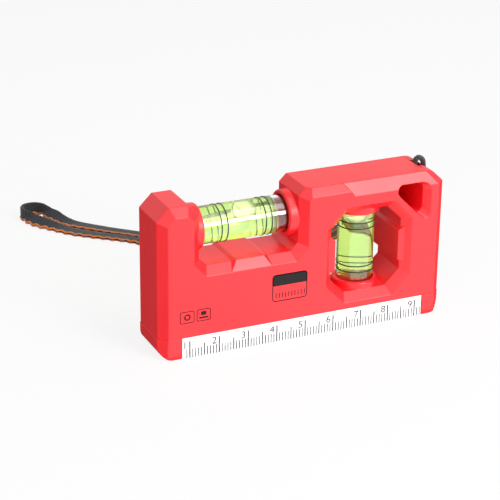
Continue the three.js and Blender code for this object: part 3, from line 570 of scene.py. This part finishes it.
body = shell_from("body", ["body_front_half", "body_rear_half"])
round_edges(body, 0.00018, 18)
body_red, _ = moulded(
    "moulded red", (0.88, 0.014, 0.022), (0.84, 0.011, 0.018), 0.33, 0.41, 0.00002,
)
body.data.materials.append(body_red)
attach(body, "level")
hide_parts("body_front_half", "body_rear_half")


# Base shoe
# The same red plastic. It plugs into the body with two spigots and carries the ruler and the
# magnets; a fine groove shows where it meets the body.
shoe = shell_from("shoe", ["base_shoe"])
round_edges(shoe, 0.0002, 30)
shoe.data.materials.append(body_red)
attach(shoe, "level")
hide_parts("base_shoe")


# Ruler
# A white label with black marks: a short line for each millimetre, a longer one for each half
# centimetre and a tall one with its number for each centimetre.
label_white, _ = moulded("white label", (0.9, 0.9, 0.9), (0.86, 0.86, 0.86), 0.35, 0.5, 0.00001)
ruler = frame["nodes"]["ruler_strip"]
ruler.data.materials.clear()
ruler.data.materials.append(label_white)
ink, ink_shader = moulded("black ink", (0.012, 0.010, 0.011), (0.008, 0.007, 0.008), 0.5, 0.65, 0.00001)
ink_shader.inputs["Specular IOR Level"].default_value = 0.15
FRONT_Y = -0.010
INK_PROUD = 0.00002
RULER_ZERO = -0.050
LABEL_FOOT = 0.0001
MARK_WIDE = 0.00036


def mark_row(name, first_x, foot, count, step, height, wide):
    """A row of upright marks that stand on one line at the height of foot."""
    bpy.ops.object.select_all(action="DESELECT")
    bpy.ops.mesh.primitive_cube_add(size=1.0, location=(first_x, FRONT_Y, foot + height / 2))
    mark = bpy.context.object
    mark.name = name
    mark.dimensions = (wide, 2 * INK_PROUD, height)
    bpy.ops.object.transform_apply(location=True, rotation=True, scale=True)
    row = mark.modifiers.new("row", "ARRAY")
    row.use_relative_offset = False
    row.use_constant_offset = True
    row.constant_offset_displace = (step, 0, 0)
    row.count = count
    bpy.ops.object.modifier_apply(modifier=row.name)
    return mark


rows = [
    mark_row("ruler_marks", -0.041, LABEL_FOOT, 84, 0.001, 0.0029, MARK_WIDE * 0.85),
    mark_row("half_marks", -0.035, LABEL_FOOT, 8, 0.010, 0.0042, MARK_WIDE),
    mark_row("centimetre_marks", -0.040, LABEL_FOOT, 9, 0.010, 0.0056, MARK_WIDE * 1.1),
]
bpy.ops.object.select_all(action="DESELECT")
for row in rows:
    row.select_set(True)
bpy.context.view_layer.objects.active = rows[0]
bpy.ops.object.join()
ruler_marks = bpy.context.object
ruler_marks.data.materials.clear()
ruler_marks.data.materials.append(ink)
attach(ruler_marks, "level")

NUMBER_SIZE = 0.0035
NUMBER_LEFT = 0.0008
NUMBER_FOOT = 0.0026
for number in range(1, 10):
    bpy.ops.object.select_all(action="DESELECT")
    bpy.ops.object.text_add(location=(0, 0, 0))
    digit = bpy.context.object
    digit.data.body = str(number)
    digit.data.size = NUMBER_SIZE
    digit.data.align_x = "RIGHT"
    digit.data.align_y = "BOTTOM"
    digit.data.extrude = INK_PROUD
    digit.data.resolution_u = 6
    digit.name = "number_" + str(number)
    bpy.ops.object.convert(target="MESH")
    digit = bpy.context.object
    digit.rotation_euler = (math.radians(90), 0, 0)
    digit.location = (RULER_ZERO - NUMBER_LEFT + number * 0.010, FRONT_Y, NUMBER_FOOT)
    bpy.ops.object.transform_apply(location=True, rotation=True, scale=True)
    digit.data.materials.clear()
    digit.data.materials.append(ink)
    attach(digit, "level")


# Printed panels
# Black print on the front: a panel with rounded corners, its upper part filled and a short scale in
# its lower part, and two small framed signs, a ring for the magnets and a block on a base.
def rounded(x0, x1, z0, z1, low, high):
    """The outline of an upright panel; low and high are the radii of its lower and upper corners."""
    points = []
    for x, z, radius, start in (
        (x1 - low, z0 + low, low, -90), (x1 - high, z1 - high, high, 0),
        (x0 + high, z1 - high, high, 90), (x0 + low, z0 + low, low, 180),
    ):
        for step in range(7):
            turn = math.radians(start + 15 * step)
            points.append((x + radius * math.cos(turn), z + radius * math.sin(turn)))
    return points


def printed(name, outer, inner=None):
    """Ink on the front face, filled or as a frame between two outlines with as many points."""
    count = len(outer)
    loops = [outer] if inner is None else [outer, inner]
    verts = [
        (x, FRONT_Y + side * INK_PROUD, z) for side in (-1, 1) for loop in loops for x, z in loop
    ]
    back = count * len(loops)
    faces = []
    if inner is None:
        faces += [tuple(range(count)), tuple(reversed(range(back, back + count)))]
    for k in range(count):
        n = (k + 1) % count
        faces.append((k, k + back, n + back, n))
        if inner is not None:
            faces.append((k + count, n + count, n + count + back, k + count + back))
            faces += [(k, n, n + count, k + count), (k + back, k + count + back, n + count + back, n + back)]
    mesh = bpy.data.meshes.new(name)
    mesh.from_pydata(verts, [], faces)
    piece = bpy.data.objects.new(name, mesh)
    bpy.context.scene.collection.objects.link(piece)
    bpy.ops.object.select_all(action="DESELECT")
    piece.select_set(True)
    bpy.context.view_layer.objects.active = piece
    bpy.ops.object.mode_set(mode="EDIT")
    bpy.ops.mesh.select_all(action="SELECT")
    bpy.ops.mesh.remove_doubles(threshold=0.000001)
    bpy.ops.mesh.normals_make_consistent(inside=False)
    bpy.ops.object.mode_set(mode="OBJECT")
    return piece


def frame_print(name, x0, x1, z0, z1, radius, line):
    """A printed frame of an even line width."""
    return printed(
        name, rounded(x0, x1, z0, z1, radius, radius),
        rounded(x0 + line, x1 - line, z0 + line, z1 - line, radius - line, radius - line),
    )


# Each with its left and right edge, foot and head, then its corners' radius and its line's width.
prints = [
    frame_print("panel_frame", -0.0119, 0.0004, 0.0139, 0.0232, 0.0012, 0.00036),
    printed("panel_head", rounded(-0.0118, 0.0003, 0.0193, 0.0231, 0.00001, 0.0011)),
    mark_row("panel_scale", -0.0105, 0.0151, 10, 0.0011, 0.0018, 0.00032),
    frame_print("sign_frame_left", -0.0433, -0.0384, 0.0119, 0.0160, 0.0006, 0.0003),
    frame_print("sign_ring", -0.0419, -0.0397, 0.01285, 0.01505, 0.0011, 0.0005),
    frame_print("sign_frame_right", -0.0377, -0.0329, 0.0119, 0.0160, 0.0006, 0.0003),
    printed("sign_block", rounded(-0.0362, -0.0344, 0.0139, 0.0152, 0.0001, 0.0001)),
    printed("sign_base", rounded(-0.0368, -0.0338, 0.0128, 0.0134, 0.0001, 0.0001)),
]
for piece in prints:
    piece.data.materials.clear()
    piece.data.materials.append(ink)
    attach(piece, "level")


# Magnets
# Two nickel-plated discs sit in blind holes of the shoe, a fifth of a millimetre above its
# underside, and hold the level on steel.
nickel, nodes, links, shader = new_material("nickel plate")
surface = nodes.new("ShaderNodeGroup")
surface.node_tree = grain
surface.inputs["Low"].default_value = 0.18
surface.inputs["High"].default_value = 0.34
shader.inputs["Base Color"].default_value = (0.62, 0.61, 0.58, 1)
shader.inputs["Metallic"].default_value = 1.0
links.new(surface.outputs["Roughness"], shader.inputs["Roughness"])
for name in ("magnet_1", "magnet_2"):
    disc = shell_from("disc_" + name[-1], [name])
    round_edges(disc, 0.0002, 30)
    disc.data.materials.append(nickel)
    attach(disc, "level")
    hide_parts(name)


# Vials
# Each vial is a clear acrylic barrel, bored out and closed with a clear plug, full of yellow
# green liquid but for one bubble. Four black read lines are printed round it. Where one clear
# piece fills another, it reaches a little into it, so that light passes without an air gap.
def clear(name, colour, shade, ior, glow=0.0):
    """A clear material; shade is the colour of the light that it lets through to its shadow, and glow is a
    painted glow in its own colour.
    """
    material, nodes, links, shader = new_material(name)
    shader.inputs["Base Color"].default_value = (*colour, 1)
    shader.inputs["IOR"].default_value = ior
    shader.inputs["Transmission Weight"].default_value = 1.0
    shader.inputs["Emission Color"].default_value = (*colour, 1)
    shader.inputs["Emission Strength"].default_value = glow
    surface = nodes.new("ShaderNodeGroup")
    surface.node_tree = grain
    surface.inputs["Low"].default_value = 0.0
    surface.inputs["High"].default_value = 0.03
    links.new(surface.outputs["Roughness"], shader.inputs["Roughness"])
    passing = node(nodes, "ShaderNodeBsdfTransparent", Color=(*shade, 1))
    rays = nodes.new("ShaderNodeLightPath")
    either = nodes.new("ShaderNodeMixShader")
    links.new(rays.outputs["Is Shadow Ray"], either.inputs[0])
    links.new(shader.outputs[0], either.inputs[1])
    links.new(passing.outputs[0], either.inputs[2])
    links.new(either.outputs[0], nodes["Material Output"].inputs["Surface"])
    return material


def turned(name, profile, middle, lying, steps=96):
    """A closed body of revolution from (radius, height) points, standing on Z or lying on X."""
    verts = []
    for radius, height in profile:
        for k in range(steps):
            angle = math.tau * k / steps
            x, y, z = radius * math.cos(angle), radius * math.sin(angle), height
            verts.append(middle + (Vector((-z, y, x)) if lying else Vector((x, y, z))))
    faces = []
    for i in range(len(profile)):
        after = (i + 1) % len(profile)
        for k in range(steps):
            n = (k + 1) % steps
            faces.append((i * steps + k, i * steps + n, after * steps + n, after * steps + k))
    mesh = bpy.data.meshes.new(name)
    mesh.from_pydata(verts, [], faces)
    piece = bpy.data.objects.new(name, mesh)
    bpy.context.scene.collection.objects.link(piece)
    bpy.ops.object.select_all(action="DESELECT")
    piece.select_set(True)
    bpy.context.view_layer.objects.active = piece
    bpy.ops.object.mode_set(mode="EDIT")
    bpy.ops.mesh.select_all(action="SELECT")
    bpy.ops.mesh.remove_doubles(threshold=0.000001)
    bpy.ops.mesh.dissolve_degenerate(threshold=0.000001)
    bpy.ops.mesh.normals_make_consistent(inside=False)
    bpy.ops.object.mode_set(mode="OBJECT")
    bpy.ops.object.shade_smooth_by_angle(angle=math.radians(35))
    return piece


acrylic = clear("clear acrylic", (0.985, 0.99, 0.975), (0.96, 0.97, 0.95), 1.46)
# The liquid's glow is a faint painted glow that stands in for the light it fluoresces.
liquid = clear("yellow green liquid", (0.60, 0.87, 0.23), (0.74, 0.93, 0.36), 1.38, 0.06)
# The bubble's glow is a painted reflection: it stands in for the white surround that the bubble reflects.
air = clear("air bubble", (0.98, 0.99, 0.97), (0.97, 0.98, 0.95), 0.74, 0.3)
line_ink, _ = moulded("black read line", (0.01, 0.01, 0.01), (0.006, 0.006, 0.006), 0.4, 0.55, 0.00001)
LONG_LIQUID_END = 0.01085
UPRIGHT_LIQUID_END = 0.0106
VIAL_RADIUS = 0.006
BORE_RADIUS = 0.005
BORE_RISE = 0.00015
VIAL_END = 0.001
END_ROUND = 0.0004
REACH = 0.00002
for vial, lying, liquid_end in (
    ("long_vial", True, LONG_LIQUID_END), ("upright_vial", False, UPRIGHT_LIQUID_END),
):
    low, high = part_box(vial + "_barrel")
    middle = (low + high) / 2
    long = max(high - low)
    bottom, top = -long / 2, long / 2
    chamber_low, chamber_high = -liquid_end, top - VIAL_END
    bore = []
    for step in range(17):
        height = chamber_low + (chamber_high - chamber_low) * step / 16
        along = height / max(-chamber_low, chamber_high)
        bore.append((BORE_RADIUS + BORE_RISE * (1 - along * along), height))
    edge = [
        (VIAL_RADIUS - END_ROUND * (1 - math.sin(turn)), END_ROUND * (1 - math.cos(turn)))
        for turn in [math.pi / 2 * k / 4 for k in range(5)]
    ]
    barrel = turned(vial + "_clear_barrel", [
        (BORE_RADIUS, bottom), *[(r, bottom + h) for r, h in edge],
        *[(r, top - h) for r, h in reversed(edge)], (0, top), (0, chamber_high), *reversed(bore),
    ], middle, lying)
    plug = turned(vial + "_clear_plug", [
        (0, bottom), (BORE_RADIUS + REACH, bottom),
        (BORE_RADIUS + REACH, chamber_low + REACH), (0, chamber_low + REACH),
    ], middle, lying)
    fill = turned(vial + "_liquid", [
        (0, chamber_low), *[(r + REACH, h) for r, h in bore],
        (bore[-1][0] + REACH, chamber_high + REACH), (0, chamber_high + REACH),
    ], middle, lying)
    low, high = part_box(vial + "_bubble")
    wide = (high.y - low.y) / 2
    straight = max(high - low) / 2 - wide
    dome = [
        (wide * math.cos(turn), straight + wide * math.sin(turn))
        for turn in [math.pi / 2 * k / 12 for k in range(13)]
    ]
    bubble = turned(
        vial + "_air", [*[(r, -h) for r, h in reversed(dome)], *dome], (low + high) / 2, lying, 48,
    )
    for piece, finish, slot, part, mover in (
        (barrel, acrylic, "acrylic", "_barrel", "level"), (plug, acrylic, "acrylic", "_plug", "level"),
        (fill, liquid, "fluid", "_fluid", "level"), (bubble, air, "air", "_bubble", vial[:-5] + "_bubble"),
    ):
        piece.data.materials.append(finish)
        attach(piece, mover)
        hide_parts(vial + part)
    for number in range(1, 5):
        line = frame["nodes"][vial + "_line_" + str(number)]
        line.data.materials.clear()
        line.data.materials.append(line_ink)


# Floor and light
# White paper under soft lights from the front right, the left and above, in a grey surround that the
# camera and the gloss see as white. In the gloss the paper shows a painted reflection, a bright
# glowing patch before the level that lights the sheen on its front, and dim paper elsewhere, a
# painted shade in place of the level's shadow on it.
FLOOR_SIZE = 6.0
FLOOR_DROP = 0.00005
PAPER_SEEN = 0.85
REFLECTION_FRONT, REFLECTION_LEFT = -0.012, -0.052
PAINTED_REFLECTION_GLOW, PAINTED_SHADE_GLOW = 2.5, 0.1
SURROUND_LIGHT, SURROUND_SEEN = 0.4, 1.0
bpy.ops.object.select_all(action="DESELECT")
bpy.ops.mesh.primitive_plane_add(size=FLOOR_SIZE, location=(0, 0, -FLOOR_DROP))
floor = bpy.context.object
floor.name = "floor"
paper, nodes, links, shader = new_material("white paper floor")
shader.inputs["Base Color"].default_value = (0.8, 0.8, 0.8, 1)
shader.inputs["Roughness"].default_value = 0.9
glow = node(nodes, "ShaderNodeEmission", Color=(1, 1, 1, 1), Strength=1.0)
path = nodes.new("ShaderNodeLightPath")
seen = math_node(nodes, links, "ADD", path.outputs["Is Camera Ray"], path.outputs["Is Transmission Ray"])
seen = math_node(nodes, links, "MULTIPLY", seen, PAPER_SEEN, clamp=True)
blend = nodes.new("ShaderNodeMixShader")
links.new(seen, blend.inputs[0])
links.new(shader.outputs[0], blend.inputs[1])
links.new(glow.outputs[0], blend.inputs[2])
place = nodes.new("ShaderNodeTexCoord")
split = nodes.new("ShaderNodeSeparateXYZ")
links.new(place.outputs["Object"], split.inputs[0])
# Painted reflection and painted shade, seen only by gloss: the paper glows brightly before the level and
# right of its left end, and dimly elsewhere.
ahead = math_node(nodes, links, "LESS_THAN", split.outputs[1], REFLECTION_FRONT)
beside = math_node(nodes, links, "GREATER_THAN", split.outputs[0], REFLECTION_LEFT)
painted_reflection = math_node(nodes, links, "MULTIPLY", math_node(nodes, links, "MULTIPLY", ahead, beside), PAINTED_REFLECTION_GLOW)
painted_reflection = math_node(nodes, links, "ADD", painted_reflection, PAINTED_SHADE_GLOW)
reflected = node(nodes, "ShaderNodeEmission", Color=(1, 1, 1, 1))
links.new(painted_reflection, reflected.inputs["Strength"])
mirrored = nodes.new("ShaderNodeMixShader")
gloss = math_node(
    nodes, links, "SUBTRACT", path.outputs["Is Glossy Ray"], path.outputs["Is Transmission Ray"], clamp=True,
)
links.new(gloss, mirrored.inputs[0])
links.new(blend.outputs[0], mirrored.inputs[1])
links.new(reflected.outputs[0], mirrored.inputs[2])
links.new(mirrored.outputs[0], nodes["Material Output"].inputs["Surface"])
floor.data.materials.append(paper)

world = bpy.data.worlds.new("pale surround")
bpy.context.scene.world = world
world.use_nodes = True
nodes, links = world.node_tree.nodes, world.node_tree.links
background = nodes["Background"]
path = nodes.new("ShaderNodeLightPath")
seen = math_node(nodes, links, "ADD", path.outputs["Is Camera Ray"], path.outputs["Is Transmission Ray"])
seen = math_node(nodes, links, "ADD", seen, path.outputs["Is Glossy Ray"])
seen = math_node(nodes, links, "MINIMUM", seen, 1.0)
strength = math_node(nodes, links, "MULTIPLY", seen, SURROUND_SEEN - SURROUND_LIGHT, clamp=True)
links.new(math_node(nodes, links, "ADD", strength, SURROUND_LIGHT), background.inputs["Strength"])
background.inputs["Color"].default_value = (1, 1, 1, 1)


def soft_light(name, direction, distance, wide, tall, power):
    """A flat soft light that faces the middle of the level."""
    aim = Vector((0.0, 0.0, 0.025))
    away = Vector(direction).normalized()
    bpy.ops.object.light_add(type="AREA", location=aim + away * distance)
    lamp = bpy.context.object
    lamp.name = name
    lamp.rotation_euler = away.to_track_quat("Z", "Y").to_euler()
    lamp.data.shape = "RECTANGLE"
    lamp.data.size = wide
    lamp.data.size_y = tall
    lamp.data.energy = power
    return lamp


soft_light("front light", (0.384, -0.86, 0.35), 0.9, 0.4, 0.36, 6.4)
soft_light("left light", (-0.8, -0.8, 0.5), 0.9, 0.4, 0.4, 1.6)
soft_light("top light", (0.26, -0.46, 0.95), 0.9, 0.6, 0.6, 3.8)

bpy.context.scene.view_settings.view_transform = "Standard"

bpy.context.view_layer.update()
